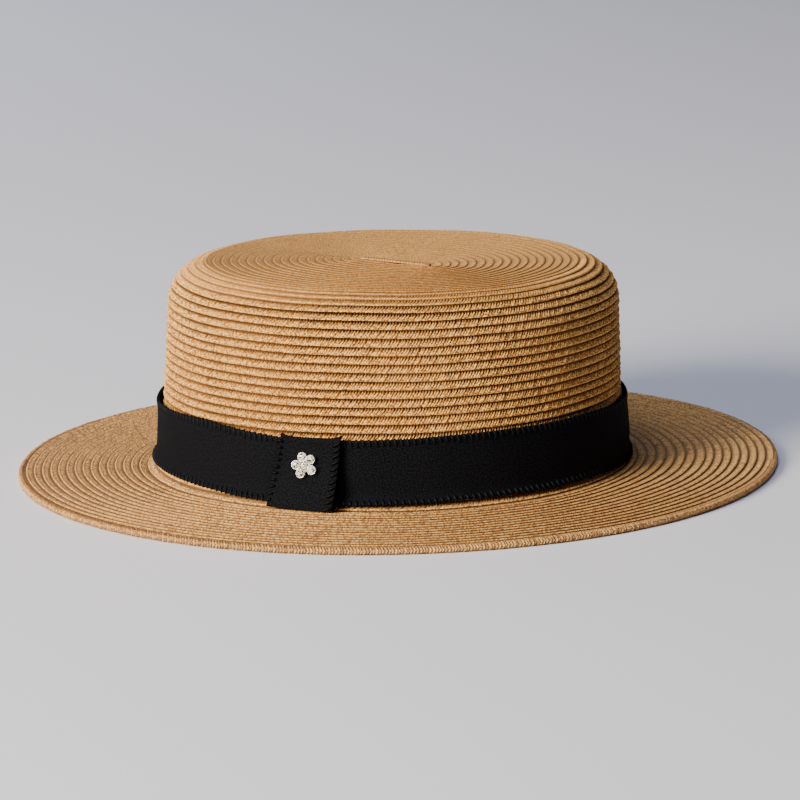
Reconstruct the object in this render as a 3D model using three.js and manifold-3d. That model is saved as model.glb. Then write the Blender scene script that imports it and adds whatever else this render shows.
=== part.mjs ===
// A straw boater: a flat-topped oval hat sewn from one long paper-straw braid, with a black ribbon band,
// a ribbon keeper looped over the band and a small silver flower of clear stones on the keeper.
//
// Units are millimetres. +Z is up, and the hat stands on its brim edge at z = 0, centred on the origin.
// X runs along the long axis of the head oval, with the front of the hat at -X and the back at +X.
// The keeper is on the wearer's left, at -Y. Each braid row laps over the next one out, like tiles on a roof,
// so its outer or lower edge stands proud. The rows are plain rings here.
import * as THREE from "three";
import { mergeVertices } from "three/addons/utils/BufferGeometryUtils.js";
import Module from "manifold-3d";

// ---- driving dimensions ----

const segments = 40; // facets round the hat
const gap = 0.3; // clearance between pieces that lie on each other
const strawThickness = 2.2;

// Every level of the hat is an oval of half-width r along Y and half-length r + ovalExtra along X,
// so walls and rows keep one width all the way round.
const ovalExtra = 14;

const braid = {
  pitch: 3.56, // the part of a row that shows
  step: 0.5, // how far a row's outer edge stands above the next row
  core: 3, // the tight rows in the middle of the top are one plain button
};

const brim = {
  outerR: 147.6,
  topZ: 3.4, // upper face at the crown
  droop: 0.2, // how far the upper face falls from the crown to the edge row
  filletR: 8, // the braid turns from the wall to the brim round this radius
  edgeRowWidth: 3.6, // the last row is turned down to stand on its edge
  edgeFlat: 1.3, // width of the flat that it stands on
};

const crown = {
  baseR: 86,
  height: 85.8, // from the brim's upper face to the rim of the top
  draft: 0.07, // how far the wall leans in, per unit of height
  shoulderR: 16.6,
  forward: 1.9, // its foot is set this far towards the front
  leanBack: 0.012, // and the wall leans back, per unit of height
  topTilt: 0.018, // the top is higher at the front
};

const band = {
  reach: 4.8, // how far its lower edge reaches round the fillet
  width: 28,
  thickness: 1,
  sag: 3.6, // it is drawn down at the keeper
  sagSpread: 0.55, // radians
  slope: 1.4, // and lies lower at the back than at the front
};

const keeper = {
  x: -36, // middle of the keeper along the hat
  width: 25.5,
  overhang: 2, // how far it stands above and below the band
  thickness: 1.2,
  softness: 0.3, // its folded ends are rounded off by this much
  shear: 0.165, // its upper end is set towards the back
  steps: 8,
};

const flower = {
  petals: 5,
  firstPetal: 178, // degrees, anticlockwise from the hat's back
  petalOrbit: 3.6,
  petalR: 2.15,
  heartR: 2.2,
  plateThickness: 0.9,
  stoneR: 1.75,
  heartStoneR: 1.5,
  stoneTable: 0.58, // flat top of a stone, as a share of its radius
  stoneHeight: 1,
  stoneSides: 8,
  petalSides: 12,
  beadR: 0.45,
  beadOrbit: 2.75,
  bedDepth: 0.3, // how deep the stones and beads sit in the plate
  aboveKeeperMiddle: 3.4,
  aside: 0.1,
};

const straw = new THREE.MeshStandardMaterial({ color: 0xc0925c, roughness: 0.62, metalness: 0 });
const ribbon = new THREE.MeshStandardMaterial({ color: 0x17171a, roughness: 0.85, metalness: 0 });
const silver = new THREE.MeshStandardMaterial({ color: 0xd9dadc, roughness: 0.2, metalness: 1 });

// ---- the shapes in section: x is the half-width r of the oval, y is the height ----

const topRimZ = brim.topZ + crown.height;
const wallTopZ = topRimZ - crown.shoulderR;
const draftAngle = Math.atan(crown.draft);
const wallR = (z) => crown.baseR - crown.draft * (z - brim.topZ);
const filletZ = brim.topZ + brim.filletR;
const collarZ = filletZ + 1.5; // the crown meets the brim's collar here, behind the band

// The crown's outer line, from the middle of the top to the collar.
function crownLine() {
  const centreR = wallR(wallTopZ) - crown.shoulderR / Math.cos(draftAngle);
  const line = new THREE.Path();
  line.moveTo(0, topRimZ);
  line.lineTo(centreR, topRimZ);
  line.absarc(centreR, wallTopZ, crown.shoulderR, Math.PI / 2, draftAngle, true);
  line.lineTo(wallR(collarZ), collarZ);
  return line;
}

// The line down the wall, round the fillet and out along the brim to the edge row.
function footLine() {
  const centreR = wallR(filletZ) + brim.filletR / Math.cos(draftAngle);
  const line = new THREE.Path();
  const turnZ = filletZ - brim.filletR * Math.sin(draftAngle);
  line.moveTo(wallR(wallTopZ), wallTopZ);
  line.lineTo(wallR(turnZ), turnZ);
  line.absarc(centreR, filletZ, brim.filletR, Math.PI + draftAngle, 1.5 * Math.PI, false);
  line.lineTo(brim.outerR - brim.edgeRowWidth, brim.topZ - brim.droop);
  return line;
}

const foot = footLine();
const footLength = foot.getLength();
const wallLength = foot.getCurveLengths()[0];
const filletEnds = foot.getCurveLengths().at(-2);
const collarAt = (wallTopZ - collarZ) / Math.cos(draftAngle);

// The point at distance `along` a line, moved `off` to its outer side.
function beside(line, along, off) {
  const u = THREE.MathUtils.clamp(along / line.getLength(), 0, 1);
  const point = line.getPoint(u);
  const tangent = line.getTangent(u);
  return new THREE.Vector2(point.x - tangent.y * off, point.y + tangent.x * off);
}

// Lapped rows along a line: each rises from its tucked edge to its proud edge.
function lappedRows(line, from, to) {
  const points = [];
  for (let s = from; s < to - gap; s += braid.pitch)
    points.push(beside(line, s, 0), beside(line, Math.min(s + braid.pitch, to), braid.step));
  return points;
}

// The distances that split a stretch of line into equal parts, both ends included.
function evenly(from, to, parts) {
  return Array.from({ length: parts + 1 }, (_, i) => from + ((to - from) * i) / parts);
}

// ---- from sections to solids ----

// The place on the hat of a point of its section.
function ovalPoint(angle, r, z) {
  const flat = brim.outerR - brim.edgeRowWidth - crown.baseR;
  const inside = 1 - THREE.MathUtils.clamp((r - crown.baseR) / flat, 0, 1);
  const rise = Math.max(0, z - brim.topZ);
  const x = (r + ovalExtra) * Math.cos(angle) - crown.forward * inside + crown.leanBack * rise;
  return new THREE.Vector3(x, r * Math.sin(angle), z - (crown.topTilt * x * rise) / crown.height);
}

// A lathe whose rings are placed by `place`. A section that runs anticlockwise faces out.
function ovalLathe(section, place = ovalPoint) {
  const lathe = new THREE.LatheGeometry(section, segments);
  const position = lathe.getAttribute("position");
  for (let i = 0; i < position.count; i++) {
    const { x, y } = section[i % section.length];
    const ring = Math.floor(i / section.length) % segments;
    const p = place((2 * Math.PI * ring) / segments, x, y);
    position.setXYZ(i, p.x, p.y, p.z);
  }
  return welded(lathe);
}

// Only positions, with shared vertices merged.
function welded(geometry) {
  const bare = new THREE.BufferGeometry();
  bare.setAttribute("position", geometry.getAttribute("position"));
  bare.setIndex(geometry.getIndex());
  return mergeVertices(bare, 1e-4);
}

// ---- the crown ----

function makeCrown() {
  const line = crownLine();
  const topEnds = line.getCurveLengths()[0];
  const shoulderEnds = line.getCurveLengths().at(-2);
  const lowestRowZ = filletZ + band.width - band.reach - band.sag;
  const rowsEnd = shoulderEnds + (wallTopZ - lowestRowZ) / Math.cos(draftAngle);
  const outer = [beside(line, 0, braid.step), ...lappedRows(line, braid.core * braid.pitch, rowsEnd)];
  const footZ = collarZ + gap;
  outer.push(new THREE.Vector2(wallR(footZ), footZ));
  const inner = [0, ...evenly(topEnds, shoulderEnds, 4)].map((s) => beside(line, s, -strawThickness));
  inner.push(new THREE.Vector2(wallR(footZ) - strawThickness, footZ));
  return ovalLathe([...inner, ...outer.reverse()]);
}

// ---- the brim, with the collar that the crown is sewn to ----

function makeBrim() {
  const firstRow = footLength - braid.pitch * Math.floor((footLength - wallLength) / braid.pitch);
  const upper = [beside(foot, collarAt, 0), ...lappedRows(foot, firstRow, footLength)];
  const lower = [collarAt, ...evenly(wallLength, filletEnds, 4), footLength]
    .map((s) => beside(foot, s, -strawThickness));
  // The edge row turns down from the last flat row and stands on its edge.
  const edge = [
    [brim.outerR - brim.edgeRowWidth, brim.topZ - brim.droop],
    [brim.outerR - 1.4, brim.topZ - 0.6],
    [brim.outerR - 0.3, brim.topZ - 1.5],
    [brim.outerR, 1],
    [brim.outerR - 0.7, 0],
    [brim.outerR - 0.7 - brim.edgeFlat, 0],
    [brim.outerR - 2.6, 0.9],
  ].map(([r, z]) => new THREE.Vector2(r, z));
  const section = [...lower, ...edge.reverse(), ...upper.reverse()];
  return ovalLathe([...section, section[0]]);
}

// ---- the ribbon band ----

const bandFace = braid.step + gap; // its inner face lies on the proud edges of the rows

// How much lower the band lies at this angle.
function bandDrop(angle) {
  const turned = Math.atan2(Math.sin(angle - keeperAngle), Math.cos(angle - keeperAngle));
  return band.sag * Math.exp(-((turned / band.sagSpread) ** 2)) + band.slope * Math.cos(angle);
}

// The place `up` from the band's lower edge and `off` the straw.
function onBand(angle, off, up) {
  const { x, y } = beside(foot, wallLength + band.reach + bandDrop(angle) - up, off);
  return ovalPoint(angle, x, y);
}

function makeBand() {
  const heights = [...evenly(0, band.reach + band.sag, 3), band.width];
  const face = (off) => heights.map((up) => new THREE.Vector2(off, up));
  const section = [...face(bandFace).reverse(), ...face(bandFace + band.thickness)];
  return ovalLathe([...section, section[0]], onBand);
}

// ---- the keeper ----

const keeperAngle = -Math.PI / 2 + Math.asin(keeper.x / (crown.baseR + ovalExtra));
const keeperInside = bandFace + band.thickness + gap;

// The place `across` from the keeper's middle, as for the band.
function onKeeper(across, off, up) {
  const perRadian = Math.hypot(
    (crown.baseR + ovalExtra) * Math.sin(keeperAngle), crown.baseR * Math.cos(keeperAngle));
  const u = across + keeper.shear * (up - band.width / 2);
  return onBand(keeperAngle + u / perRadian, off, up);
}

// A C in section: a front over the band, with its ends folded in above and below it.
function makeKeeper() {
  const heights = evenly(-gap, band.width + gap, 5);
  const front = keeperInside + keeper.thickness;
  const soft = front - keeper.softness;
  const [low, high] = [-keeper.overhang, band.width + keeper.overhang];
  const section = [
    [bandFace, low],
    [soft, low],
    ...heights.map((up) => [front, up]),
    [soft, high],
    [bandFace, high],
    [bandFace, band.width + gap],
    ...heights.map((up) => [keeperInside, up]).reverse(),
    [bandFace, -gap],
  ];
  const shape = new THREE.Shape(section.map(([off, up]) => new THREE.Vector2(off, up)));
  const solid = new THREE.ExtrudeGeometry(shape, {
    depth: keeper.width, steps: keeper.steps, bevelEnabled: false,
  });
  const position = solid.getAttribute("position");
  for (let i = 0; i < position.count; i++) {
    const p = onKeeper(keeper.width / 2 - position.getZ(i), position.getX(i), position.getY(i));
    position.setXYZ(i, p.x, p.y, p.z);
  }
  return welded(solid);
}

// ---- the flower ----

const wasm = await Module();
wasm.setup();

function solidOf(geometry) {
  const { attributes, index } = welded(geometry);
  return new wasm.Manifold(
    new wasm.Mesh({
      numProp: 3,
      vertProperties: attributes.position.array,
      triVerts: new Uint32Array(index.array),
    }),
  );
}

function joined(geometries) {
  const sum = geometries.map(solidOf).reduce((whole, next) => whole.add(next));
  const mesh = sum.getMesh();
  const geometry = new THREE.BufferGeometry();
  geometry.setAttribute("position", new THREE.BufferAttribute(mesh.vertProperties, 3));
  geometry.setIndex(new THREE.BufferAttribute(mesh.triVerts, 1));
  return geometry;
}

// A disc or a cut stone standing on the level `z`, its axis along Z.
function disc(footR, headR, height, sides, x, y, z) {
  return new THREE.CylinderGeometry(headR, footR, height, sides)
    .rotateX(Math.PI / 2)
    .translate(x, y, z + height / 2);
}

function makeFlower() {
  const { petalR, heartR, petalSides, stoneR, heartStoneR, stoneTable, stoneHeight, stoneSides } = flower;
  const bed = flower.plateThickness - flower.bedDepth;
  const stone = (r, x, y) => disc(r, r * stoneTable, stoneHeight + flower.bedDepth, stoneSides, x, y, bed);
  const pieces = [
    disc(heartR, heartR, flower.plateThickness, petalSides, 0, 0, 0),
    stone(heartStoneR, 0, 0),
  ];
  for (let i = 0; i < flower.petals; i++) {
    const turn = THREE.MathUtils.degToRad(flower.firstPetal + (360 * i) / flower.petals);
    const [c, s] = [Math.cos(turn) * flower.petalOrbit, Math.sin(turn) * flower.petalOrbit];
    pieces.push(disc(petalR, petalR, flower.plateThickness, petalSides, c, s, 0), stone(stoneR, c, s));
    const between = turn + Math.PI / flower.petals;
    const bead = new THREE.IcosahedronGeometry(flower.beadR);
    bead.setIndex([...Array(bead.getAttribute("position").count).keys()]);
    pieces.push(bead.translate(
      Math.cos(between) * flower.beadOrbit, Math.sin(between) * flower.beadOrbit, flower.plateThickness));
  }
  return joined(pieces);
}

// ---- assembly ----

function named(name, geometry, material) {
  const mesh = new THREE.Mesh(geometry, material);
  mesh.name = name;
  return mesh;
}

const hat = new THREE.Group();
hat.name = "straw_boater";
hat.add(named("crown", makeCrown(), straw));
hat.add(named("brim", makeBrim(), straw.clone()));
hat.add(named("ribbon_band", makeBand(), ribbon));
hat.add(named("ribbon_keeper", makeKeeper(), ribbon.clone()));

const brooch = named("flower_brooch", makeFlower(), silver);
const seat = (across, up) => onKeeper(
  flower.aside + across, keeperInside + keeper.thickness + gap,
  band.width / 2 + flower.aboveKeeperMiddle + up);
const along = seat(1, 0).sub(seat(-1, 0)).normalize();
const out = along.clone().cross(seat(0, 1).sub(seat(0, -1))).normalize();
brooch.position.copy(seat(0, 0));
brooch.quaternion.setFromRotationMatrix(new THREE.Matrix4().makeBasis(along, out.clone().cross(along), out));
hat.add(brooch);

export default hat;
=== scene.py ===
import math

import bpy
import numpy as np
from mathutils import Matrix, Vector


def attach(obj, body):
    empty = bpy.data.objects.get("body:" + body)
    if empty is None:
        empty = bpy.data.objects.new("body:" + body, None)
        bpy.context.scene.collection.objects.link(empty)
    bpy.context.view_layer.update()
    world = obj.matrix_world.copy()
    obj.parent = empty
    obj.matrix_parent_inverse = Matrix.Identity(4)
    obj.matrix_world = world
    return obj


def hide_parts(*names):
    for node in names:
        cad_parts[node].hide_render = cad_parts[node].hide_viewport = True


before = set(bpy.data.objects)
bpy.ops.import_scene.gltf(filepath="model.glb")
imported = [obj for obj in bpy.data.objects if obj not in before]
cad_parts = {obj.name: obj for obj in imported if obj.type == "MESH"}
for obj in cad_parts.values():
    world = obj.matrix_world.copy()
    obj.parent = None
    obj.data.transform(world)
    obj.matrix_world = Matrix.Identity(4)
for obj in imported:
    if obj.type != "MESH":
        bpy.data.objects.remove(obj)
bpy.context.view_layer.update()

MM = 0.001
TAU = 2 * math.pi

# ---- the hat's sizes, in millimetres, as in the part's source ----

OVAL = 14.0  # each level is an oval of half-width r and half-length r + OVAL
PITCH = 3.56  # the part of a braid row that shows
BRIM_R, BRIM_TOP, BRIM_DROOP, FILLET_R, EDGE_ROW = 147.6, 3.4, 0.2, 8.0, 3.6
EDGE_LIP = 1.9  # the flat rows reach this near to the outer edge
BASE_R, HEIGHT, DRAFT, SHOULDER_R = 86.0, 85.8, 0.07, 16.6
FORWARD, LEAN_BACK, TOP_TILT = 1.9, 0.012, 0.018
BAND_REACH, BAND_WIDTH, BAND_SAG, SAG_SPREAD, BAND_SLOPE = 4.8, 28.0, 3.6, 0.55, 1.4
KEEPER_X, KEEPER_WIDTH, KEEPER_ASIDE = -36.0, 26.0, 1.25
KEEPER_ANGLE = -math.pi / 2 + math.asin(KEEPER_X / (BASE_R + OVAL))

# ---- and what the real hat adds to them ----

START_SLANT, SLANT_ENDS = -0.5, 75.0  # the first strip of the braid is laid askew on the top
TOP_SAG, SAG_R = 0.8, 60.0  # the middle of the top lies this much lower
BLUNT = 0.6  # and its rows have blunter ends
TOP_BACK, TOP_BACK_FROM, TOP_BACK_RISE = 1.25, 35, 50  # the top is set further back, from this height on
BACK_BEND = 3.6  # round the back the wall meets the brim in a tighter bend
BEND_END_R, BEND_END_Z, BEND_END_COS = (118, 24), (13, 6), (0.4, 0.6)  # where it fades out, over how far

DRAFT_ANGLE = math.atan(DRAFT)
RIM_Z = BRIM_TOP + HEIGHT
WALL_TOP_Z = RIM_Z - SHOULDER_R
FILLET_Z = BRIM_TOP + FILLET_R


def wall_r(z):
    return BASE_R - DRAFT * (z - BRIM_TOP)


# ---- the straw's outer line in section, by its length from the middle of the top ----

def outer_line():
    """Evenly spaced points of the line, their directions, and the lengths at which its parts begin."""
    step, window = 0.05, 15  # directions are averaged over this many points
    past_middle = 60  # heights are sought only outside this half-width
    centre_r = wall_r(WALL_TOP_Z) - SHOULDER_R / math.cos(DRAFT_ANGLE)
    top = np.stack([np.linspace(0, centre_r, 1400), np.full(1400, RIM_Z)], 1)
    turn = np.linspace(math.pi / 2, DRAFT_ANGLE, 500)
    shoulder = np.stack([centre_r + SHOULDER_R * np.cos(turn), WALL_TOP_Z + SHOULDER_R * np.sin(turn)], 1)
    foot_r = wall_r(FILLET_Z) + FILLET_R / math.cos(DRAFT_ANGLE)
    turn = np.linspace(math.pi + DRAFT_ANGLE, 1.5 * math.pi, 300)
    fillet = np.stack([foot_r + FILLET_R * np.cos(turn), FILLET_Z + FILLET_R * np.sin(turn)], 1)
    edge_r, edge_z = BRIM_R - EDGE_LIP, BRIM_TOP - BRIM_DROOP
    nose = [(-0.9, edge_z - 0.35), (-0.4, edge_z - 0.95), (-0.3, 1.6), (-0.6, 0.9), (-1.4, 0.25)]
    bull = [(edge_r, edge_z)] + [(BRIM_R + r, z) for r, z in nose]
    raw = np.concatenate([top, shoulder, fillet, bull])
    s = np.concatenate([[0], np.cumsum(np.hypot(*np.diff(raw, axis=0).T))])
    keep = np.concatenate([[True], np.diff(s) > 1e-6])
    raw, s = raw[keep], s[keep]
    even = np.arange(0, s[-1], step)
    line = np.stack([np.interp(even, s, raw[:, 0]), np.interp(even, s, raw[:, 1])], 1)
    tangent = np.gradient(line, step, axis=0)
    padded = np.pad(tangent, ((window // 2, window // 2), (0, 0)), mode="edge")
    tangent = np.stack([np.convolve(padded[:, i], np.ones(window) / window, "valid") for i in (0, 1)], 1)
    tangent /= np.linalg.norm(tangent, axis=1)[:, None]

    def first(where):
        return float(even[np.argmax(where)])

    def first_below(z):
        return first((line[:, 1] < z) & (line[:, 0] > past_middle))

    outward = line[:, 1] > WALL_TOP_Z + SHOULDER_R / 2  # here the half-width only grows
    lengths = {
        "top": float(np.interp(centre_r, line[outward, 0], even[outward])),
        "wall": first_below(WALL_TOP_Z),
        "fillet": first_below(FILLET_Z),
        "turn": first_below(FILLET_Z - FILLET_R * math.sin(DRAFT_ANGLE)),
        "flat": first(line[:, 0] > foot_r),
        "edge": first(line[:, 0] > edge_r),
        "end": float(even[-1]),
    }
    return even, line, tangent, lengths


LINE_S, LINE, LINE_T, AT = outer_line()


def beside(s, off):
    """The half-width and height at the length s along the outer line, off it by off."""
    r = np.interp(s, LINE_S, LINE[:, 0]) - off * np.interp(s, LINE_S, LINE_T[:, 1])
    z = np.interp(s, LINE_S, LINE[:, 1]) + off * np.interp(s, LINE_S, LINE_T[:, 0])
    return r, z


def place(angle, r, z):
    """The point of the hat, in millimetres, for a point of its section."""
    c = np.cos(angle)
    middle = np.clip(1 - r / SAG_R, 0, 1)
    blunt = BLUNT * middle
    inside = 1 - np.clip((r - BASE_R) / (BRIM_R - EDGE_ROW - BASE_R), 0, 1)
    rise = np.maximum(0, z - BRIM_TOP)
    long_way = OVAL * c * (1 + blunt * (1 - c * c))
    slant = START_SLANT * np.clip(1 - r / SLANT_ENDS, 0, 1) ** 1.5
    x = long_way * np.cos(slant) + r * c - FORWARD * inside + LEAN_BACK * rise
    x = x + TOP_BACK * np.clip((z - TOP_BACK_FROM) / TOP_BACK_RISE, 0, 1)
    bend = np.clip((r - BASE_R + 0.3) / FILLET_R, 0, 1)
    fade = np.clip((BEND_END_R[0] - r) / BEND_END_R[1], 0, 1)
    fade = fade * np.clip((BEND_END_Z[0] - z) / BEND_END_Z[1], 0, 1)
    fade = fade * np.clip((c - BEND_END_COS[0]) / BEND_END_COS[1], 0, 1) ** 2
    x = x - BACK_BEND * bend * (1.6 - 0.6 * bend) * fade
    y = long_way * np.sin(slant) + r * np.sin(angle)
    z = z - TOP_TILT * x * rise / HEIGHT - TOP_SAG * middle * (z > WALL_TOP_Z)
    # the braid is never quite even
    wave = 0.22 * np.sin(2 * angle + 0.7) + 0.13 * np.sin(5 * angle + r * 0.05)
    wave = wave + 0.08 * np.sin(11 * angle + 2.0)
    return np.stack([x, y, z + wave * np.clip((z - 0.6) / 3, 0, 1)], -1)


# ---- making meshes ----

UV_NAME = "braid"


def run_length(points):
    """The length along a line of points, from 0 at the first."""
    return np.concatenate([[0], np.cumsum(np.linalg.norm(np.diff(points, axis=0), axis=1))])


def paired(u, v, shape):
    """UV values of a grid of points, one pair for each."""
    return np.stack([np.broadcast_to(u, shape), np.broadcast_to(v, shape)], -1).reshape(-1, 2)


def mesh_object(name, points, faces, uv=None, smooth=True):
    """points in millimetres; uv has one pair for each point."""
    mesh = bpy.data.meshes.new(name)
    points = np.asarray(points, dtype=np.float64) * MM
    faces = np.asarray(faces, dtype=np.int32)
    sides = faces.shape[1]
    mesh.vertices.add(len(points))
    mesh.vertices.foreach_set("co", points.ravel())
    mesh.loops.add(faces.size)
    mesh.loops.foreach_set("vertex_index", faces.ravel())
    mesh.polygons.add(len(faces))
    mesh.polygons.foreach_set("loop_start", np.arange(len(faces), dtype=np.int32) * sides)
    if uv is not None:
        layer = mesh.uv_layers.new(name=UV_NAME)
        layer.data.foreach_set("uv", np.asarray(uv, dtype=np.float32)[faces.ravel()].ravel())
    mesh.update(calc_edges=True)
    mesh.validate()
    mesh.polygons.foreach_set("use_smooth", np.full(len(mesh.polygons), smooth))
    obj = bpy.data.objects.new(name, mesh)
    bpy.context.scene.collection.objects.link(obj)
    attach(obj, "root")
    return obj


def grid_faces(rows, cols, closed=False, wrapped=False, flip=False):
    """Quads of a grid of points laid out row by row. closed joins the last row to the first, and wrapped
    joins the end of each row to its start."""
    i = np.arange(rows - (0 if closed else 1))[:, None]
    j = np.arange(cols - (0 if wrapped else 1))[None, :]
    n, m = (i + 1) % rows, (j + 1) % cols
    quads = np.stack([i * cols + j, n * cols + j, n * cols + m, i * cols + m], -1).reshape(-1, 4)
    return quads[:, ::-1] if flip else quads


# ---- the braid: one long row wound clockwise from the middle of the top ----

STROKE = 0.627  # half the spacing of the strands
CHEVRON_AT = 0.24  # across a row, where the strands turn back
UPPER_SLOPE, LOWER_SLOPE = 0.35, 0.62  # how far they shift for each unit across the row
PROFILE_V = np.array([-0.16, 0.02, 0.18, 0.36, 0.7, 0.88, 1.03, 0.98])
PROFILE_OFF = np.array([-1.0, -0.88, -0.52, -0.3, 0.1, 0.45, 0.15, -0.7])
PROFILE_STRAND = np.array([0.0, 0.8, 1.1, 1.0, 0.65, 0.25, 0.1, 0.0])
PROFILE_MARK = np.array([-0.16, 0.02, 0.2, 0.36, 0.7, 0.88, 1.03, 1.14])  # what the material reads
INNER_PROFILE = [0, 2, 4, 5, 7]  # the smooth inner faces need only these of its points
WALL_IN, WALL_IN_OVER = (0.1, 1.1), 36  # they lie this much deeper at the wall's top, and this far down it
FLAT_SHARE = 0.62  # the rows lie flatter on the brim than on the wall, and flatter still on the top
TOP_SHARE = 0.34
EASE_IN, EASE_OUT = (4, 14), (2, 8)  # from this far before the wall, and past it, and over how far
WALL_RELIEF, FLAT_RELIEF = 0.27, 0.08  # how far the strands stand out of their row
UNEVEN, FLAT_UNEVEN = 0.13, 0.25  # spread of the strands' places, and the share of it on the flats
LOOSE = 0.7  # how much of it shows in the place and the height of a whole strand
DIVE, DIVE_PAST = -0.6, 0.4  # a row lies this deep past its limit, and goes no further than this
COARSE = 2.24  # spacing of the points along the inner faces
INNER_DEPTH, INNER_LAPS = 1.95, 0.75  # how deep these lie, and how high their laps are


def lap_height(s):
    """How far the laps stand out here, as a share of their height on the wall, eased in and out of it."""
    begun = np.clip((s - AT["top"] + EASE_IN[0]) / EASE_IN[1], 0, 1)
    left = np.clip((AT["flat"] + EASE_OUT[0] - s) / EASE_OUT[1], 0, 1)
    share = np.where(s < AT["wall"], TOP_SHARE, FLAT_SHARE)
    return share + (1 - share) * (begun * left)


def wall_share(laps):
    """0 where the rows lie flat and 1 on the wall."""
    return np.clip((laps - FLAT_SHARE) / (1 - FLAT_SHARE), 0, 1)


def chevron(v):
    """How far, in millimetres, a strand is shifted round the hat at this place across its row."""
    upper, lower = (CHEVRON_AT - v) * UPPER_SLOPE, (v - CHEVRON_AT) * LOWER_SLOPE
    return PITCH * np.where(v < CHEVRON_AT, upper, lower)


def crests(count):
    """Each strand is two steps long, one on its crest and one in the dip beside it."""
    k = np.arange(count)[:, None]
    return k, np.where(k % 2 == 0, 1.0, -1.0)


def braid_rows(name, s_from, s_to, relief=WALL_RELIEF, stroke=STROKE, seed=1, inner=None, limit=None):
    """Rows of the spiral between two lengths from the middle of the top. inner is how deep under the
    outer line the rows of the inner face lie. Past limit they dive under the edge row."""
    turns = (s_to - s_from) / PITCH
    fine = np.linspace(0, turns * TAU, max(int(turns * 360), 60))
    first_angle = -TAU * s_from / PITCH
    length = run_length(place(first_angle - fine, *beside(s_from + PITCH * fine / TAU + PITCH / 2, 0)))
    count = int(length[-1] / stroke)
    at = np.arange(count) * stroke
    phi = np.interp(at, length, fine)
    per_mm = np.gradient(phi, at)[:, None]
    used = slice(None) if inner is None else INNER_PROFILE
    mark = PROFILE_MARK[None, used]
    v, off, strand = PROFILE_V[None, used], PROFILE_OFF[None, used], PROFILE_STRAND[None, used] * relief
    rng = np.random.default_rng(seed)
    k, crest = crests(count)
    uneven = np.repeat(rng.normal(0, UNEVEN, (count // 2 + 1, 1)), 2, axis=0)[:count]
    on_wall = wall_share(lap_height(s_from + PITCH * phi[:, None] / TAU))
    uneven = uneven * (FLAT_UNEVEN + (1 - FLAT_UNEVEN) * on_wall)
    rough = 0.05 * np.sin(k * 0.043 + seed) + 0.06 * np.sin(k * 0.0071)  # slow waves of the whole row
    turned = phi[:, None] + (chevron(v) + LOOSE * uneven) * per_mm
    s = s_from + PITCH * turned / TAU + v * PITCH + rough
    laps = lap_height(s)
    shows = off > -0.4  # what isn't tucked under the row before
    depth = (off + strand * (crest + uneven * 2) + LOOSE * uneven * shows) * laps
    down = np.clip((s - AT["wall"]) / WALL_IN_OVER, 0, 1)
    wall_in = (WALL_IN[0] + (WALL_IN[1] - WALL_IN[0]) * down) * wall_share(laps)
    if limit is not None:
        depth = np.where(s > limit, DIVE, depth)
        s = np.minimum(s, limit + DIVE_PAST)
    depth = (depth if inner is None else -inner - INNER_LAPS * depth) - wall_in
    r, z = beside(np.clip(s, 0, AT["end"]), depth)
    points = place(first_angle - turned, np.maximum(r, 0.02), z)
    uv = paired(k * stroke / (2 * STROKE), mark, points.shape[:2])
    faces = grid_faces(count, v.size, flip=inner is not None)
    return mesh_object(name, points.reshape(-1, 3), faces, uv, smooth=False)


def edge_row():
    """The last row, turned down over the brim's edge, with a V plait."""
    relief, v_reach, spread = 0.28, 2.2, 0.15
    s_mid = (AT["edge"] + AT["end"]) / 2
    fine = np.linspace(0, TAU, 1500)
    length = run_length(place(fine, *beside(s_mid, 0)))
    count = 2 * int(length[-1] / STROKE / 2)
    steps = np.interp(np.arange(count + 1) * length[-1] / count, length, fine)
    phi, per_mm = steps[:count, None], np.gradient(steps)[:count, None] / STROKE
    span = AT["end"] - AT["edge"]
    v = np.array([-0.4, -0.1, 0.08, 0.3, 0.5, 0.72, 0.94])[None, :]
    off = np.array([-0.9, -0.2, 0.12, 0.26, 0.3, 0.26, 0.1])[None, :]
    strand = np.array([0, 0.2, 0.8, 1, 0.5, 1, 0.6])[None, :] * relief
    k, crest = crests(count)
    rng = np.random.default_rng(9)
    uneven = np.repeat(rng.normal(0, spread, (count // 2, 1)), 2, axis=0)
    angle = phi + ((0.5 - np.abs(v - 0.5)) * v_reach + uneven) * per_mm
    r, z = beside(AT["edge"] + span * v, off + strand * (crest + 2 * uneven))
    under = [(BRIM_R - 2.0, 0.05), (BRIM_R - 2.8, 0.3), (BRIM_R - 3.5, 0.9)]  # and back in below
    r = np.concatenate([r * np.ones_like(phi)] + [np.full_like(phi, u[0]) for u in under], 1)
    z = np.concatenate([z * np.ones_like(phi)] + [np.full_like(phi, u[1]) for u in under], 1)
    angle = np.concatenate([angle, phi, phi, phi], 1)
    points = place(angle, r, np.maximum(z, 0.02))
    # with these marks the material paints shade over the whole row: most along its upper edge, least at its
    # middle, and more again where it turns in below
    mark = np.array([[0.1, 0.2, 0.28, 0.34, 0.4, 0.34, 0.28, 1.02, 1.1, 1.2]])
    uv = paired(k / 2, mark, points.shape[:2])
    faces = grid_faces(count, mark.size, closed=True, flip=True)
    return mesh_object("brim_edge_braid", points.reshape(-1, 3), faces, uv, smooth=False)


def whole_turns(length):
    """The nearest length at which the spiral has made whole turns."""
    return PITCH * round(length / PITCH)


# the pieces that the braid is made in, each from one whole turn to another
FLAT_END = whole_turns(AT["top"] - 2)
TOP_END = whole_turns(AT["wall"] - 2)
SIDE_MIDDLE = TOP_END + PITCH * 8
SIDE_END = whole_turns(AT["fillet"] - 8)
BRIM_START = whole_turns(AT["turn"] - 2)
BRIM_END = AT["edge"]
BRIM_MIDDLE = whole_turns(AT["flat"] + 27)
SMOOTH_INSIDE = {"relief": 0, "stroke": COARSE, "inner": INNER_DEPTH}


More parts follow.
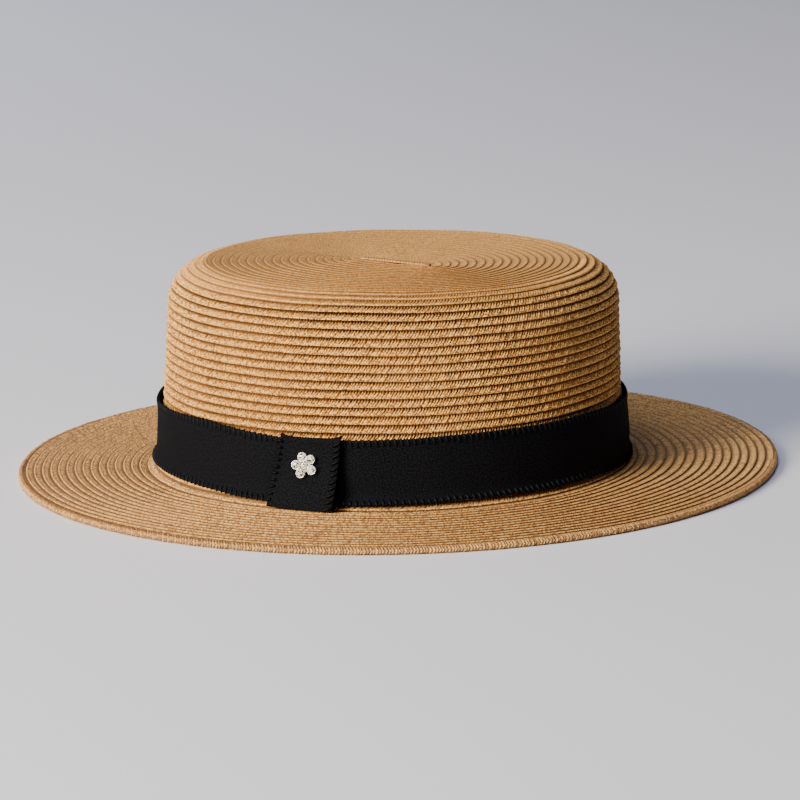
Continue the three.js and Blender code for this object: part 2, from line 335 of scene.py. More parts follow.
def start_strip():
    """The braid's beginning: a short straight length in the middle of the top, over the first turn's
    inner edge. Its ends are rounded and sink between the rows."""
    half_long, half_wide, aside, end = 16.5, 1.9, 1.1, 2.2
    relief, v_reach = 0.2, 1.3
    count = int(2 * half_long / STROKE)
    u = np.linspace(-half_long, half_long, count)[:, None]
    v = np.array([0.1, 0.0, 0.06, 0.16, 0.5, 0.84, 0.94, 1.0, 0.9])[None, :]
    off = np.array([-0.35, 0.05, 0.35, 0.45, 0.35, 0.45, 0.35, 0.05, -0.35])[None, :]
    strand = np.array([0, 0.2, 0.6, 1, 0.7, 1, 0.6, 0.2, 0])[None, :] * relief
    k, crest = crests(count)
    taper = np.sqrt(np.clip((half_long + 0.05 - np.abs(u)) / end, 0, 1))
    along = u + v_reach * (0.5 - np.abs(v - 0.5)) * taper
    across = (2 * v - 1) * half_wide * taper + aside
    cut = np.where(taper < 1, (1 - taper) * 0.5, 0)
    c, s = math.cos(START_SLANT), math.sin(START_SLANT)
    x = along * c - across * s - FORWARD + LEAN_BACK * HEIGHT + TOP_BACK
    y = along * s + across * c
    z = RIM_Z - TOP_SAG - TOP_TILT * x + off + strand * crest - cut
    points = np.stack([x, y, z], -1)
    i, cols = np.arange(count - 1), v.size
    belly = np.stack([i * cols + cols - 1, (i + 1) * cols + cols - 1, (i + 1) * cols, i * cols], -1)
    faces = np.concatenate([grid_faces(count, cols), belly])
    uv = paired(k / 2, 0.45 + 0.4 * v, points.shape[:2])
    return mesh_object("crown_start_strip", points.reshape(-1, 3), faces, uv, smooth=False)


pieces = [
    start_strip(),
    braid_rows("crown_top_braid", 0, FLAT_END, relief=FLAT_RELIEF, seed=3),
    braid_rows("crown_shoulder_braid", FLAT_END, TOP_END, seed=13),
    braid_rows("crown_side_braid", TOP_END, SIDE_MIDDLE, seed=4),
    braid_rows("crown_foot_braid", SIDE_MIDDLE, SIDE_END, seed=14),
    braid_rows("brim_inner_braid", BRIM_START, BRIM_MIDDLE, relief=FLAT_RELIEF, seed=5),
    braid_rows("brim_outer_braid", BRIM_MIDDLE, BRIM_END, relief=FLAT_RELIEF, seed=6, limit=BRIM_END),
    edge_row(),
    braid_rows("crown_inside_braid", 0, BRIM_START + PITCH, seed=7, **SMOOTH_INSIDE),
    braid_rows("brim_underside_braid", BRIM_START, BRIM_END, seed=8, limit=BRIM_END, **SMOOTH_INSIDE),
]
for piece in pieces:
    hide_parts("crown" if piece.name.startswith("crown") else "brim")


# ---- materials ----

def new_material(name):
    material = bpy.data.materials.new(name)
    material.use_nodes = True
    nodes = material.node_tree.nodes
    nodes.clear()
    shader = nodes.new("ShaderNodeBsdfPrincipled")
    out = nodes.new("ShaderNodeOutputMaterial")
    material.node_tree.links.new(shader.outputs[0], out.inputs[0])
    return material, shader


class Graph:
    """Short ways of writing a node tree."""

    def __init__(self, material):
        self.tree = material.node_tree

    def link(self, value, socket):
        if isinstance(value, bpy.types.NodeSocket):
            self.tree.links.new(value, socket)
        else:
            socket.default_value = value

    def math(self, operation, *values):
        node = self.tree.nodes.new("ShaderNodeMath")
        node.operation = operation
        for value, socket in zip(values, node.inputs):
            self.link(value, socket)
        return node.outputs[0]

    def times(self, a, b):
        return self.math("MULTIPLY", a, b)

    def plus(self, a, b):
        return self.math("ADD", a, b)

    def ramp(self, value, low, high, to_low=0.0, to_high=1.0):
        node = self.tree.nodes.new("ShaderNodeMapRange")
        node.interpolation_type = "SMOOTHSTEP"
        for v, socket in zip((value, low, high, to_low, to_high), node.inputs):
            self.link(v, socket)
        return node.outputs[0]

    def mix(self, factor, a, b):
        node = self.tree.nodes.new("ShaderNodeMix")
        node.data_type, node.clamp_factor = "RGBA", True
        self.link(factor, node.inputs[0])
        for value, socket in ((a, node.inputs[6]), (b, node.inputs[7])):
            self.link(value if isinstance(value, bpy.types.NodeSocket) else (*value, 1.0), socket)
        return node.outputs[2]

    def noise(self, vector, scale, detail=2.0, roughness=0.5):
        node = self.tree.nodes.new("ShaderNodeTexNoise")
        self.link(vector, node.inputs["Vector"])
        node.inputs["Scale"].default_value = scale
        node.inputs["Detail"].default_value = detail
        node.inputs["Roughness"].default_value = roughness
        return node.outputs["Fac"]

    def uv(self):
        node = self.tree.nodes.new("ShaderNodeUVMap")
        node.uv_map = UV_NAME
        split = self.tree.nodes.new("ShaderNodeSeparateXYZ")
        self.tree.links.new(node.outputs[0], split.inputs[0])
        return split.outputs[0], split.outputs[1]

    def place(self):
        return self.tree.nodes.new("ShaderNodeTexCoord").outputs["Object"]

    def height(self):
        split = self.tree.nodes.new("ShaderNodeSeparateXYZ")
        self.tree.links.new(self.place(), split.inputs[0])
        return split.outputs[2]

    def vector(self, x, y, z=0.0):
        node = self.tree.nodes.new("ShaderNodeCombineXYZ")
        for value, socket in zip((x, y, z), node.inputs):
            self.link(value, socket)
        return node.outputs[0]

    def random(self, value):
        node = self.tree.nodes.new("ShaderNodeTexWhiteNoise")
        node.noise_dimensions = "1D"
        self.link(value, node.inputs["W"])
        return node.outputs["Value"]

    def bump(self, height, shader, strength, distance):
        node = self.tree.nodes.new("ShaderNodeBump")
        node.inputs["Strength"].default_value = strength
        node.inputs["Distance"].default_value = distance
        self.link(height, node.inputs["Height"])
        self.tree.links.new(node.outputs[0], shader.inputs["Normal"])


# the straw's colours: its strands run from pale to deep, and the rest is laid over them
PALE, DEEP = (1.0, 0.505, 0.135), (0.7, 0.32, 0.082)
GRAIN, CLOUD = (0.48, 0.21, 0.07), (0.55, 0.26, 0.09)
DARK_STRAND, BRIGHT_STRAND = (0.25, 0.1, 0.03), (1.0, 0.64, 0.22)  # single ones, on the brim
DARK_FLECK, BRIGHT_FLECK = (0.2, 0.078, 0.021), (1.0, 0.61, 0.18)
SLIT_PAINTED_SHADE, LAP_PAINTED_SHADE = (0.064, 0.023, 0.007), (0.048, 0.017, 0.006)  # painted shade between the strands, and under the laps
# painted cool light for the brim, and painted shade for the top
BRIM_PAINTED_COOL_LIGHT, TOP_PAINTED_SHADE = (0.75, 0.48, 0.34), (0.58, 0.32, 0.14)
BRIM_HEIGHTS, TOP_HEIGHTS = (0.0038, 0.0068), (0.083, 0.088)  # in metres: below and above these lie the flats


def straw_material():
    material, shader = new_material("straw_braid")
    g = Graph(material)
    along, across = g.uv()
    height = g.height()
    brim, top = g.ramp(height, *BRIM_HEIGHTS, 1.0, 0.0), g.ramp(height, *TOP_HEIGHTS)
    flat = g.math("MAXIMUM", brim, top)

    strand = g.math("FLOOR", g.plus(along, 0.5))
    tone, dapple = g.random(strand), g.random(g.plus(strand, 0.5))
    grain = g.noise(g.vector(g.times(along, 1.7), g.times(across, 14.0)), 1.0, 3.0)
    colour = g.mix(tone, PALE, DEEP)
    colour = g.mix(g.ramp(grain, 0.4, 0.8, 0.0, 0.5), colour, GRAIN)
    colour = g.mix(g.times(brim, g.ramp(dapple, 0.5, 0.95, 0.0, 0.75)), colour, DARK_STRAND)
    colour = g.mix(g.times(brim, g.ramp(dapple, 0.5, 0.1, 0.0, 0.6)), colour, BRIGHT_STRAND)

    fleck = g.noise(g.place(), 1350.0, 1.0, 0.6)
    flecked = g.math("SUBTRACT", 1.0, g.times(top, 0.35))
    colour = g.mix(g.times(flecked, g.ramp(fleck, 0.5, 0.57, 0.0, 0.85)), colour, DARK_FLECK)
    colour = g.mix(g.times(flecked, g.ramp(fleck, 0.49, 0.43, 0.0, 0.95)), colour, BRIGHT_FLECK)

    # painted shade in the slits between the strands, weaker on the flats; it fades out towards the lower edge
    # of a row
    from_middle = g.times(g.math("ABSOLUTE", g.math("SUBTRACT", along, strand)), 2.0)
    slit_shade = g.ramp(from_middle, g.ramp(tone, 0.0, 1.0, 0.1, 0.5), 0.85)
    slit_shade = g.times(slit_shade, g.ramp(g.plus(across, g.times(tone, 0.24)), 0.5, 0.84, 1.0, 0.14))
    colour = g.mix(g.times(slit_shade, g.ramp(flat, 0.0, 1.0, 0.9, 0.45)), colour, SLIT_PAINTED_SHADE)

    # painted shade where the row above lies over the upper edge, and where the lower edge turns under; depth
    # sets its strength, less on the brim and less still on the top
    under = g.math("MAXIMUM", g.ramp(across, 0.22, 0.47, 1.0, 0.0), g.ramp(across, 1.05, 1.13))
    depth = g.math("SUBTRACT", 0.95, g.plus(g.times(brim, 0.22), g.times(top, 0.5)))
    colour = g.mix(g.times(under, depth), colour, LAP_PAINTED_SHADE)

    colour = g.mix(g.ramp(g.noise(g.place(), 26.0, 3.0), 0.3, 0.7, 0.0, 0.2), colour, CLOUD)
    # a paler, cooler tint painted on the brim for cooler light there, and painted shade on the top
    colour = g.mix(g.times(brim, 0.12), colour, BRIM_PAINTED_COOL_LIGHT)
    colour = g.mix(g.times(top, 0.3), colour, TOP_PAINTED_SHADE)
    g.link(colour, shader.inputs["Base Color"])
    shader.inputs["Roughness"].default_value = 0.42
    shader.inputs["Specular IOR Level"].default_value = 0.2
    shader.inputs["Specular Tint"].default_value = (1.0, 0.74, 0.45, 1.0)
    g.bump(grain, shader, 0.6, 0.00015)
    return material


straw = straw_material()
for piece in pieces:
    piece.data.materials.append(straw)

# ---- the ribbon band ----

BAND_THICK = 0.8
BAND_OFF = 1.05  # its middle surface stands this far off the straw
END_DROP = 1.5  # it hangs lower round the hat's two ends
FRONT_NARROW = 0.085  # it is drawn narrower round the front
BACK_REACH = 0.5  # and its foot reaches further into the bend at the back


def near_end(cosine, start):
    """0 up to this cosine and 1 at the end of the hat."""
    return np.clip((cosine - start) / (1 - start), 0, 1)


def band_drop(angle):
    """How far the band hangs below its level course, which is most at the keeper."""
    from_keeper = np.arctan2(np.sin(angle - KEEPER_ANGLE), np.cos(angle - KEEPER_ANGLE))
    sag = BAND_SAG * np.exp(-((from_keeper / SAG_SPREAD) ** 2))
    return sag + BAND_SLOPE * np.cos(angle) + END_DROP * near_end(np.abs(np.cos(angle)), 0.78) ** 1.5


def on_band(angle, off, up):
    """The place that is off the straw by off, and up from the band's foot."""
    up = up * (1 - FRONT_NARROW * near_end(-np.cos(angle), 0.8))
    reach = BACK_REACH * near_end(np.cos(angle), 0.7) * (1 - np.clip(up / BAND_WIDTH, 0, 1))
    r, z = beside(AT["turn"] + BAND_REACH + band_drop(angle) + reach - up, off)
    return place(angle, r, z)


def band_stands(angle, up):
    """How far the ribbon's middle surface stands off the straw. Its edges curl away a little, more so
    round the front of the hat, and lie close round the back."""
    ends = np.cos(angle) ** 4
    front = ends * (np.cos(angle) < 0)
    back = ends - front
    top = (0.25 - 0.4 * back + 0.35 * front) * np.exp(-((BAND_WIDTH - up) / 4.0))
    bottom = (0.15 + 0.25 * front - 0.6 * back) * np.exp(-(up / 3.5))
    ripple = 0.12 * np.sin(9 * angle + 0.6) + 0.1 * np.sin(23 * angle + up * 0.12)
    return BAND_OFF + top + bottom + ripple


AROUND = np.linspace(0, TAU, 2000)
ALONG_BAND = run_length(on_band(AROUND, BAND_OFF, BAND_WIDTH / 2))
BAND_LENGTH = ALONG_BAND[-1]  # round the hat at half its width


def even_angles(count):
    """Angles that are evenly spaced along the band."""
    return np.interp(np.arange(count) * BAND_LENGTH / count, ALONG_BAND, AROUND)


STITCH_PITCH, THREAD, KEEPER_THREAD = 2.62, 0.5, 0.62
STITCHES = round(BAND_LENGTH / STITCH_PITCH)  # along each edge


def band_mesh():
    """The cloth: a closed ring with a front, a back and rounded edges that the stitches pull in."""
    per_stitch, front_cols, edge_round = 4, 19, 0.25
    count = STITCHES * per_stitch
    a = even_angles(count)[:, None]
    t = np.linspace(0, 1, front_cols)
    front = BAND_WIDTH * (t - 0.07 * np.sin(TAU * t))
    back, half = front[::-3], BAND_THICK / 2
    ups = np.concatenate([front, [BAND_WIDTH + edge_round], back, [-edge_round]])[None, :]
    sides = np.concatenate([np.full(front.size, half), [0], np.full(back.size, -half), [0]])[None, :]
    pull = np.cos(TAU * np.arange(count) / per_stitch)[:, None]
    pull = pull * np.exp(-np.minimum(np.abs(ups), np.abs(BAND_WIDTH - ups)) / 1.3)
    outward = np.where(ups > BAND_WIDTH / 2, 1.0, -1.0)
    points = on_band(a, band_stands(a, ups) + sides + 0.16 * pull, ups + outward * 0.3 * pull)
    faces = grid_faces(count, ups.size, closed=True, wrapped=True)
    uv = paired(a / TAU * BAND_LENGTH, ups, points.shape[:2])
    return mesh_object("ribbon", points.reshape(-1, 3), faces, uv)


def tubes(name, paths, radius, sides):
    """Round threads along paths of shape (count, steps, 3), with a radius for each step."""
    paths = np.asarray(paths)
    count, steps = paths.shape[:2]
    tangent = np.gradient(paths, axis=1)
    tangent /= np.linalg.norm(tangent, axis=2, keepdims=True) + 1e-12
    guide = np.array([0.3, 0.2, 0.93])
    first = np.cross(tangent, guide)
    first /= np.linalg.norm(first, axis=2, keepdims=True) + 1e-12
    second = np.cross(tangent, first)
    turn = TAU * np.arange(sides) / sides
    width = np.asarray(radius)[None, :, None, None]
    cosine, sine = np.cos(turn)[:, None], np.sin(turn)[:, None]
    ring = paths[:, :, None, :] + width * (cosine * first[:, :, None, :] + sine * second[:, :, None, :])
    k, i, j = np.ix_(np.arange(count), np.arange(steps - 1), np.arange(sides))
    base = k * steps * sides
    a, b = base + i * sides + j, base + (i + 1) * sides + j
    c, d = base + (i + 1) * sides + (j + 1) % sides, base + i * sides + (j + 1) % sides
    faces = np.stack([a, d, c, b], -1).reshape(-1, 4)
    return mesh_object(name, ring.reshape(-1, 3), faces)


def edge_stitches(name, top):
    """The overlocked threads over one edge of the band, each bent round from behind it to its front."""
    edge = BAND_WIDTH if top else 0.0
    inward = -1.0 if top else 1.0
    count = STITCHES
    angle = even_angles(count)[:, None] + 0.5 * TAU / count
    rng = np.random.default_rng(21 if top else 22)
    along = inward * np.array([0.45, 0.4, 0.2, 0.0, -0.2, -0.35, -0.4])[None, :]
    up = np.array([0.7, -0.35, -0.1, 0.8, 1.7, 2.4, 2.7])[None, :]
    out = np.array([-0.6, -0.1, 0.45, 0.56, 0.5, 0.3, 0.0])[None, :]
    a = angle + (along + rng.normal(0, 0.1, (count, 1))) / BAND_LENGTH * TAU
    up = edge + inward * up * (1 + rng.normal(0, 0.1, (count, 1)))
    out = out * (1 - 0.6 * np.cos(angle) ** 4)
    points = on_band(a, band_stands(a, np.clip(up, 0, BAND_WIDTH)) + out, up)
    return tubes(name, points, THREAD * np.array([0.8, 1, 1.1, 1.15, 1.1, 0.9, 0.5]), 6)


# ---- the keeper: a folded strip that stands over the band, from above it down to the brim ----

KEEPER_THICK = 0.9
KEEPER_SHEARS = (0.125, 0.079)  # how far it leans, at its front and its back side
KEEPER_MIDDLE = 19.0  # it leans about this height
KEEPER_CURVE, KEEPER_BULGE = 2.2, 0.3  # its front curves out to the brim, and stands off the band at the back
PER_RADIAN = math.hypot((BASE_R + OVAL) * math.sin(KEEPER_ANGLE), BASE_R * math.cos(KEEPER_ANGLE))


def keeper_corners(side):
    """Half-widths and heights of the keeper's upper and lower end; side runs from -1 to 1 across it."""
    ears = np.abs(side) ** 6
    top_r, top_z = 87.2 + 0.5 * ears, 32.2 + 1.4 * ears
    low_r, low_z = 95.9 + 1.1 * side, 4.35 - 0.3 * side
    return top_r, top_z, low_r, low_z


def keeper_angle(side, across, z):
    """The angle round the hat at this place across the keeper, which leans."""
    shear = sum(KEEPER_SHEARS) / 2 + (KEEPER_SHEARS[1] - KEEPER_SHEARS[0]) / 2 * side
    return KEEPER_ANGLE + (across + KEEPER_ASIDE + shear * (z - KEEPER_MIDDLE)) / PER_RADIAN


def on_keeper(across, down, off=0.0):
    """The place on the keeper's front, across in millimetres and down from 0 at its upper end to 1."""
    side = across / (KEEPER_WIDTH / 2)
    top_r, top_z, low_r, low_z = keeper_corners(np.clip(side, -1, 1))
    r = top_r + (low_r - top_r) * np.abs(down) ** KEEPER_CURVE + off + KEEPER_BULGE * np.clip(side, 0, 1) ** 2
    z = top_z + (low_z - top_z) * down
    return place(keeper_angle(side, across, z), r, z)


def keeper_mesh():
    """The strip: tucked in at both ends, as thick as its cloth, and closed all round."""
    side = np.linspace(-1, 1, 41)[:, None]
    across = side * KEEPER_WIDTH / 2
    top_r, top_z, low_r, low_z = keeper_corners(side)
    down = np.linspace(0.02, 0.97, 22)[None, :]
    front_r = top_r + (low_r - top_r) * down ** KEEPER_CURVE + KEEPER_BULGE * np.clip(side, 0, 1) ** 2
    front_z = top_z + (low_z - top_z) * down
    turn = np.radians([20, 50, 80, 110])[None, :]
    over_r, over_z = top_r - 0.9 + 0.9 * np.cos(turn), top_z - 0.5 + 0.7 * np.sin(turn)
    under_r, under_z = low_r - 0.7 + 0.7 * np.cos(turn), low_z + 0.5 - 0.75 * np.sin(turn)
    # its two tucked ends: down behind the band's upper edge, and in under its foot
    back_top_r, back_top_z = top_r - np.array([[2.0, 3.0]]), top_z - np.array([[0.1, 1.0]])
    tuck_r, tuck_z = low_r - np.array([[4.4, 2.4]]), low_z + np.array([[0.2, -0.15]])
    r = np.concatenate([tuck_r, under_r[:, ::-1], front_r[:, ::-1], over_r, back_top_r], 1)
    z = np.concatenate([tuck_z, under_z[:, ::-1], front_z[:, ::-1], over_z, back_top_z], 1)
    dr, dz = np.gradient(r, axis=1), np.gradient(z, axis=1)
    size = np.hypot(dr, dz)
    back_r, back_z = r - KEEPER_THICK * dz / size, z + KEEPER_THICK * dr / size
    all_r, all_z = np.concatenate([r, back_r[:, ::-1]], 1), np.concatenate([z, back_z[:, ::-1]], 1)
    points = place(keeper_angle(side, across, all_z), all_r, all_z)
    rows, cols = points.shape[:2]
    faces = [grid_faces(rows, cols, wrapped=True)]
    for row, flip in ((0, False), (rows - 1, True)):  # its two sides
        c = np.arange(r.shape[1] - 1)
        quads = row * cols + np.stack([c, c + 1, cols - 2 - c, cols - 1 - c], -1)
        faces.append(quads[:, ::-1] if flip else quads)
    uv = paired(across, all_z, all_r.shape)
    return mesh_object("keeper_ribbon", points.reshape(-1, 3), np.concatenate(faces), uv)


def keeper_stitches():
    """The threads down the keeper's two sides."""
    rng = np.random.default_rng(31)
    half = KEEPER_WIDTH / 2
    length = 28.0  # of its visible front
    paths = []
    t = np.linspace(0, 1, 6)
    for down in np.arange(0.09, 0.97, 2.55 / length):  # over the front side, in to the band
        across = -half + 1.2 - 2.7 * t
        off = 0.32 - 1.1 * np.clip(t - 0.45, 0, 1)
        paths.append(on_keeper(across, down + 0.014 * t + rng.normal(0, 0.004), off))
    for down in np.arange(0.07, 1.0, 2.45 / length):  # and round the back side
        across = half - 0.1 - 3.0 * t
        off = 0.05 + 0.34 * np.sin(math.pi * np.clip(t * 0.9 + 0.05, 0, 1))
        paths.append(on_keeper(across, down + 0.035 * t + rng.normal(0, 0.004), off))
    return tubes("keeper_stitching", paths, KEEPER_THREAD * np.array([0.7, 1, 1.1, 1.1, 1, 0.8]), 8)


ribbon = band_mesh()
top_threads = edge_stitches("ribbon_top_stitching", True)
foot_threads = edge_stitches("ribbon_foot_stitching", False)
keeper = keeper_mesh()
keeper_threads = keeper_stitches()
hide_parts("ribbon_band")
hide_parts("ribbon_keeper")

CLOTH_DARK, CLOTH_LIGHT = (0.0004, 0.0005, 0.001), (0.0085, 0.0093, 0.0132)
THREAD_DARK, THREAD_LIGHT = (0.0025, 0.0034, 0.0046), (0.006, 0.0085, 0.0115)
WALE, COURSE = 0.55, 0.5  # spacing of the cloth's weave, in millimetres


def thread_material(name, lightness):
    material, shader = new_material(name)
    g = Graph(material)
    dark, light = [tuple(lightness * c for c in colour) for colour in (THREAD_DARK, THREAD_LIGHT)]
    g.link(g.mix(g.noise(g.place(), 900.0, 2.0), dark, light), shader.inputs["Base Color"])
    shader.inputs["Roughness"].default_value = 0.5
    shader.inputs["Specular IOR Level"].default_value = 0.08
    return material


def cloth_material():
    material, shader = new_material("black_ribbon")
    g = Graph(material)
    along, across = g.uv()
    cloud = g.noise(g.vector(along, across), 1.7, 4.0, 0.65)
    wale = g.math("SINE", g.times(along, TAU / WALE))
    course = g.math("SINE", g.times(g.plus(across, g.times(along, 0.4)), TAU / COURSE))
    weave = g.times(g.plus(wale, 1.0), g.plus(course, 1.0))
    g.link(g.mix(g.ramp(cloud, 0.4, 0.6), CLOTH_DARK, CLOTH_LIGHT), shader.inputs["Base Color"])
    g.bump(g.plus(weave, g.times(cloud, 2.0)), shader, 0.3, 0.00008)
    shader.inputs["Roughness"].default_value = 0.8
    shader.inputs["Specular IOR Level"].default_value = 0.06
    return material


cloth = cloth_material()
for piece in (ribbon, keeper):
    piece.data.materials.append(cloth)
for piece, lightness in ((top_threads, 1.0), (foot_threads, 1.0), (keeper_threads, 0.35)):
    piece.data.materials.append(thread_material(piece.name, lightness))


# ---- the flower: five cut stones in silver cups round a small one, with beads between them ----

PETAL_TURNS = (107, 46, -27, -114, 178)  # in degrees
PETAL_ORBIT, PETAL_R, HEART_R, PLATE, CUP = 3.6, 1.98, 1.35, 0.7, 0.95
CLAWS, CLAW_DEPTH = 9, 0.06  # the lobes of a cup's rim
BEAD_ORBIT, BEAD_R, PLATE_R = 2.35, 0.55, 2.6
FLOWER_ACROSS, FLOWER_DOWN = -0.7, 0.40  # on the keeper


def flower_frame():
    """Where the flower sits on the keeper, and its directions along, up and out of the cloth."""
    side, rise, clear = 3, 0.1, 0.15  # how far the cloth's directions are taken, and the gap behind the plate
    centre = on_keeper(FLOWER_ACROSS, FLOWER_DOWN)
    along = on_keeper(FLOWER_ACROSS + side, FLOWER_DOWN) - on_keeper(FLOWER_ACROSS - side, FLOWER_DOWN)
    up = on_keeper(FLOWER_ACROSS, FLOWER_DOWN - rise) - on_keeper(FLOWER_ACROSS, FLOWER_DOWN + rise)
    along /= np.linalg.norm(along)
    out = np.cross(along, up)
    out /= np.linalg.norm(out)
    return centre + out * clear, along, np.cross(out, along), out


def on_flower(points):
    """Points of the flower's own frame, put on the keeper."""
    centre, along, up, out = flower_frame()
    p = np.asarray(points, dtype=float)
    return centre + p[:, :1] * along + p[:, 1:2] * up + p[:, 2:] * out


def turned(profile, sides, x, y, lobes=0, depth=0.0, phase=0.0):
    """A closed round solid from a list of (radius, height), its rim pinched into lobes."""
    profile = np.asarray(profile, dtype=float)
    a = TAU * np.arange(sides)[:, None] / sides + phase
    pinch = 1 - depth * (0.5 + 0.5 * np.cos(lobes * (a - phase))) * (profile[None, :, 0] > 0.5)
    r = profile[None, :, 0] * pinch
    p = np.stack([x + r * np.cos(a), y + r * np.sin(a), np.broadcast_to(profile[None, :, 1], r.shape)], -1)
    return p.reshape(-1, 3), grid_faces(sides, len(profile), closed=True)


def gather(parts):
    """Parts, each with its points and faces, as one."""
    points, faces, start = [], [], 0
    for p, f in parts:
        points.append(p)
        faces.append(np.asarray(f) + start)
        start += len(p)
    return np.concatenate(points), np.concatenate(faces)


def petal_places():
    """The middle of each petal, and its turn."""
    turns = [math.radians(t) for t in PETAL_TURNS]
    return [(PETAL_ORBIT * math.cos(turn), PETAL_ORBIT * math.sin(turn), turn) for turn in turns]


def silver_parts():
    """The cups, the beads and the plate under them."""
    parts = []
    thin = 0.02  # the solids are open by this radius along their axis
    petals = [(x, y, turn, PETAL_R, 0.0) for x, y, turn in petal_places()]
    for x, y, turn, r, raised in petals + [(0.0, 0.0, 0.0, HEART_R, 0.25)]:
        top = PLATE + CUP + raised
        cup = [(thin, 0.0), (r - 0.15, 0.0), (r, 0.2), (r, top - 0.1), (r - 0.06, top), (r - 0.28, top),
               (r - 0.34, top - 0.16), (r - 0.36, PLATE + 0.25 + raised), (thin, PLATE + 0.2 + raised)]
        parts.append(turned(cup, 36, x, y, CLAWS, CLAW_DEPTH, turn))
    for i, turn in enumerate(PETAL_TURNS):
        wrap = 360 if i == 3 else 0  # between these two petals the angle passes half a turn
        a = math.radians((turn + PETAL_TURNS[(i + 1) % 5] + wrap) / 2)
        dome = np.linspace(0, math.pi, 9)
        bead = [(BEAD_R * math.sin(q) + 0.01, PLATE + BEAD_R - BEAD_R * math.cos(q)) for q in dome]
        parts.append(turned(bead, 14, BEAD_ORBIT * math.cos(a), BEAD_ORBIT * math.sin(a)))
    plate = [(thin, 0.0), (PLATE_R, 0.0), (PLATE_R, PLATE), (thin, PLATE)]
    parts.append(turned(plate, 24, 0.0, 0.0))
    return parts


def cut_stone(radius, x, y, z, phase):
    """A brilliant cut: its table, the six stars, the kites and the girdle, all flat."""
    def ring(n, r, h, turn=0.0):
        a = phase + turn + TAU * np.arange(n) / n
        return [(x + r * math.cos(q), y + r * math.sin(q), z + h) for q in a]

    sides = 6
    table, middle = ring(sides, 0.6 * radius, 0.6, TAU / sides / 2), ring(sides, 0.84 * radius, 0.38)
    girdle, foot = ring(2 * sides, radius, 0.08), ring(2 * sides, 0.99 * radius, -0.12)
    centre, base = (x, y, z + 0.64), (x, y, z - 0.6)
    tri = []
    for i in range(sides):
        n, odd, even = (i + 1) % sides, girdle[2 * i + 1], girdle[(2 * i + 2) % (2 * sides)]
        tri += [(centre, table[i], table[n]), (table[i], middle[n], table[n])]
        tri += [(table[i], middle[i], odd), (table[i], odd, middle[n])]
        tri += [(middle[i], girdle[2 * i], odd), (middle[n], odd, even)]
    for i in range(2 * sides):
        n = (i + 1) % (2 * sides)
        tri += [(girdle[i], foot[i], foot[n]), (girdle[i], foot[n], girdle[n]), (foot[i], base, foot[n])]
    return np.array(tri, dtype=float).reshape(-1, 3), np.arange(3 * len(tri)).reshape(-1, 3)


def flower():
    """The silver setting and the stones in it."""
    points, faces = gather(silver_parts())
    setting = mesh_object("flower_setting", on_flower(points), faces)
    stones = [cut_stone(PETAL_R - 0.38, x, y, PLATE + CUP - 0.12, 3 * turn) for x, y, turn in petal_places()]
    stones.append(cut_stone(HEART_R - 0.34, 0.0, 0.0, PLATE + CUP + 0.13, 0.2))
    points, faces = gather(stones)
    facet = np.repeat(np.arange(len(faces)), 3)
    uv = paired(facet + 0.5, 0.0, facet.shape)
    cut = mesh_object("flower_stones", on_flower(points), faces, uv, smooth=False)
    return setting, cut


SILVER, TARNISH = (0.97, 0.96, 0.93), (0.6, 0.55, 0.46)
# reflections painted on the stones' facets
FACET_DARK_REFLECTION, FACET_BRIGHT_REFLECTION, FACET_WARM_REFLECTION = (0.006, 0.006, 0.005), (1.0, 0.99, 0.97), (0.86, 0.8, 0.68)


def silver_material():
    material, shader = new_material("silver")
    g = Graph(material)
    spots = g.noise(g.place(), 1500.0, 2.0)
    g.link(g.mix(g.ramp(spots, 0.35, 0.7), SILVER, TARNISH), shader.inputs["Base Color"])
    g.link(g.ramp(spots, 0.3, 0.7, 0.18, 0.34), shader.inputs["Roughness"])
    shader.inputs["Metallic"].default_value = 0.55
    return material


def stone_material():
    """Each facet is painted with a bright, a warm or a dark reflection of its own."""
    material, shader = new_material("clear_stone")
    g = Graph(material)
    facet = g.random(g.plus(g.uv()[0], 40.0))
    tint = g.mix(g.ramp(facet, 0.31, 0.34), FACET_DARK_REFLECTION, FACET_BRIGHT_REFLECTION)
    g.link(g.mix(g.ramp(facet, 0.6, 0.85), tint, FACET_WARM_REFLECTION), shader.inputs["Base Color"])
    shader.inputs["Roughness"].default_value = 0.06
    shader.inputs["IOR"].default_value = 1.6
    shader.inputs["Transmission Weight"].default_value = 0.1
    return material


setting, stones = flower()
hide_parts("flower_brooch")
setting.data.materials.append(silver_material())
stones.data.materials.append(stone_material())

# ---- stage ----

FLOOR_COLOUR = (0.871367, 0.887923, 1.0, 1.0)
WORLD_COLOUR, WORLD_STRENGTH = (0.445201, 0.514918, 0.838799, 1.0), 0.066
FLOOR_HALF = 6.0

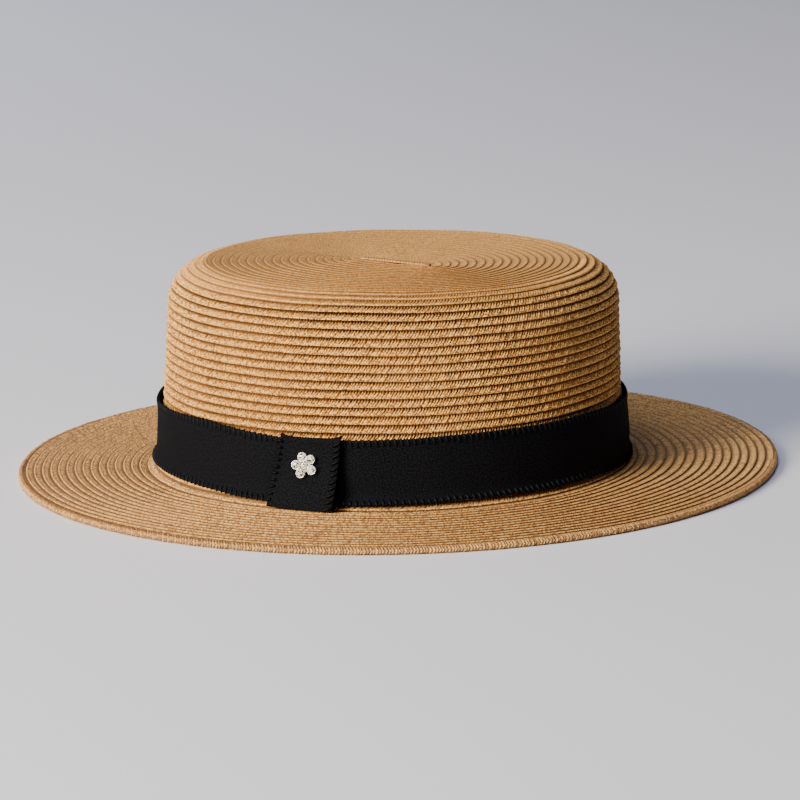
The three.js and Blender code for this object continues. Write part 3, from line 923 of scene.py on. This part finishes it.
mesh = bpy.data.meshes.new("floor")
corners = [(x * FLOOR_HALF, y * FLOOR_HALF, 0) for x, y in ((-1, -1), (1, -1), (1, 1), (-1, 1))]
mesh.from_pydata(corners, [], [(0, 1, 2, 3)])
floor = bpy.data.objects.new("floor", mesh)
bpy.context.scene.collection.objects.link(floor)
paint, shader = new_material("floor_paint")
shader.inputs["Base Color"].default_value = FLOOR_COLOUR
shader.inputs["Roughness"].default_value = 0.9
mesh.materials.append(paint)

world = bpy.data.worlds.new("studio")
bpy.context.scene.world = world
world.use_nodes = True
background = world.node_tree.nodes["Background"]
background.inputs["Color"].default_value = WORLD_COLOUR
background.inputs["Strength"].default_value = WORLD_STRENGTH


def softbox(name, at, towards, size, power, colour):
    """A rectangle of light; places and sizes in metres, power in watts."""
    light = bpy.data.lights.new(name, "AREA")
    light.shape, light.size, light.size_y = "RECTANGLE", size[0], size[1]
    light.energy, light.color = power, colour
    lamp = bpy.data.objects.new(name, light)
    lamp.location = at
    lamp.rotation_euler = (Vector(towards) - Vector(at)).to_track_quat("-Z", "Y").to_euler()
    bpy.context.scene.collection.objects.link(lamp)


softbox("key", (-1.93, -1.5, 0.95), (0, 0, 0.05), (1.2, 1.0), 153, (1.0, 0.89, 0.7))
softbox("high", (-0.55, -0.55, 2.0), (-0.1, 0.1, 0), (1.4, 1.4), 22, (0.85, 0.9, 1.0))
softbox("back", (-0.9, 1.5, 0.7), (-0.7, 1.4, 0), (1.2, 1.2), 6.5, (0.85, 0.88, 1.0))

# ---- camera ----

ELEVATION, DISTANCE, ROLL = 0.2326, 1.9464, -0.0241  # radians and metres, from the middle of what it sees
TARGET = Vector((0.001565, 0, 0.02827))
SENSOR, LENS = 36, 205.8  # in millimetres

camera_data = bpy.data.cameras.new("camera")
camera_data.sensor_width, camera_data.lens = SENSOR, LENS
camera_data.clip_start, camera_data.clip_end = 0.1, 40
camera = bpy.data.objects.new("camera", camera_data)
camera.location = TARGET + DISTANCE * Vector((0, -math.cos(ELEVATION), math.sin(ELEVATION)))
aim = (TARGET - camera.location).to_track_quat("-Z", "Y").to_matrix().to_4x4()
camera.rotation_euler = (aim @ Matrix.Rotation(ROLL, 4, "Z")).to_euler()
bpy.context.scene.collection.objects.link(camera)
bpy.context.scene.camera = camera
